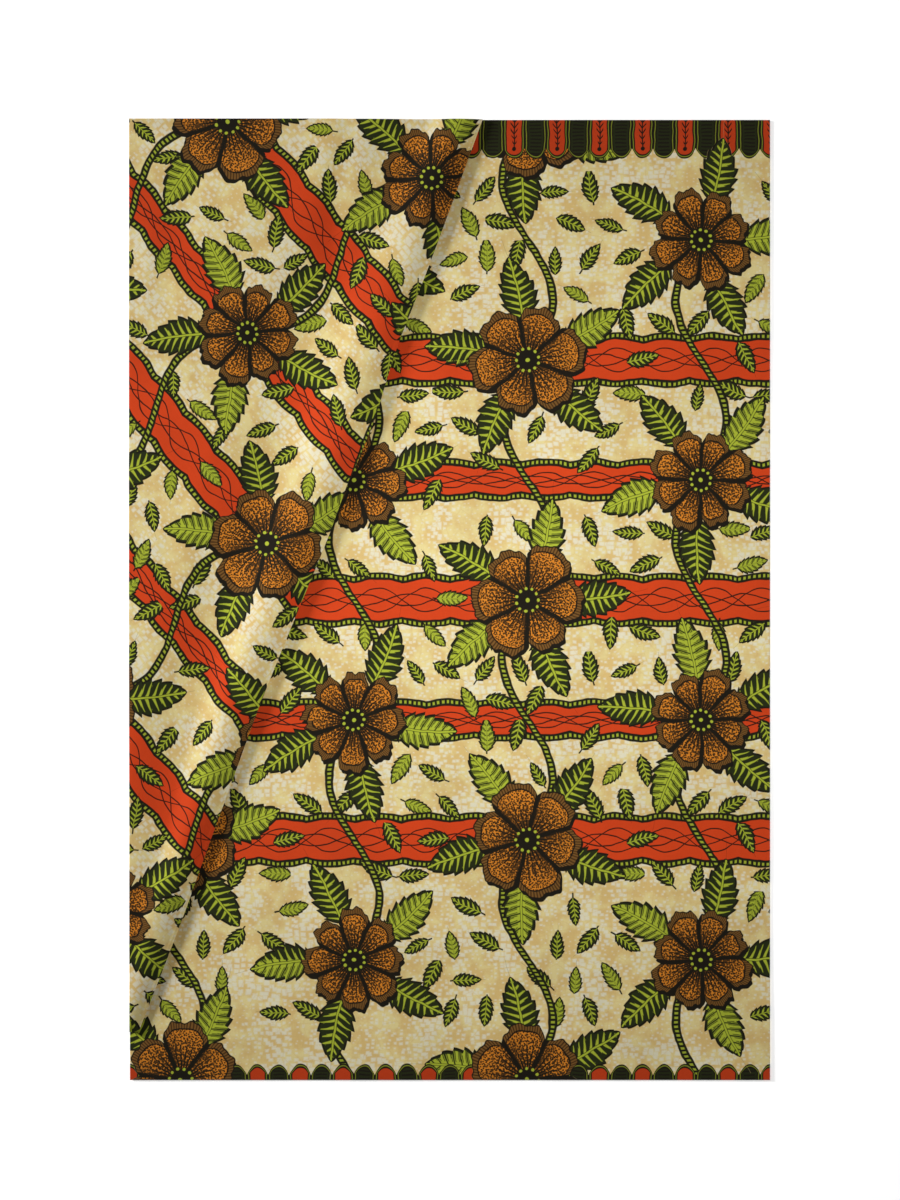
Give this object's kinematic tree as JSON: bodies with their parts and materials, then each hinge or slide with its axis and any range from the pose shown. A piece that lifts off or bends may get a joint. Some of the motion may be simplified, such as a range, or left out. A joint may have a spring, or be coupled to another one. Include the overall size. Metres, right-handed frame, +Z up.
{
  "type": "folded length of wax print cotton cloth",
  "caption": "Length of printed cotton laid flat from selvedge to selvedge, with a slanting pleat that brings a soft rolled fold over its left side.",
  "frame": {"origin": "middle of the underside of the flat panel, on the surface that the cloth lies on", "axes": "+X to the right along the warp, +Y across the cloth to the upper selvedge, +Z up out of the cloth's face"},
  "size_m": [0.76, 1.14, 0.0156],
  "materials": {
    "printed_face": "plain-woven cotton with a wax print in cream, red-orange, brown and green, softly matt",
    "folded_face": "the same printed cotton with its print turned about 50 degrees, softly matt",
    "inner_layers": "the same printed cotton seen at its folded edges, softly matt"
  },
  "bodies": {
    "root": {"flat_panel": "printed_face", "fold_over": "folded_face", "under_folds": "inner_layers"}
  },
  "joints": []
}
